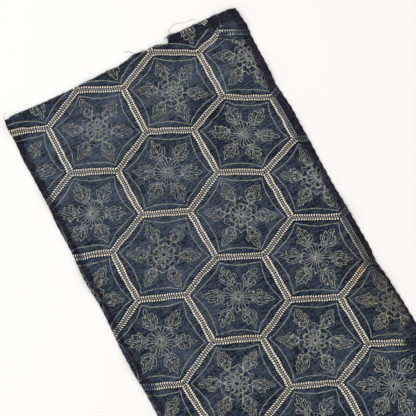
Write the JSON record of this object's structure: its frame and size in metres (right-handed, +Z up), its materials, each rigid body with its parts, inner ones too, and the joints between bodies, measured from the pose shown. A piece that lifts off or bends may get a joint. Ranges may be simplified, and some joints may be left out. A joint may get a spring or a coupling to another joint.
{
  "type": "stencil-dyed cotton textile panel",
  "caption": "Cut length of narrow indigo cotton cloth, stencil-dyed with hexagons of dotted bands around flowers, lying flat with raw ends and worn selvedges.",
  "frame": {"origin": "on the surface the cloth lies on, under the middle of the cloth's outline", "axes": "+X across the cloth to its right selvedge, +Y along the cloth towards its stepped upper end, +Z up out of its face"},
  "size_m": [0.3356, 0.9026, 0.005],
  "materials": {
    "indigo_cotton": "matte plain-weave cotton, indigo with undyed pattern lines, faded"
  },
  "bodies": {
    "root": {"cloth_panel": "indigo_cotton"}
  },
  "joints": []
}
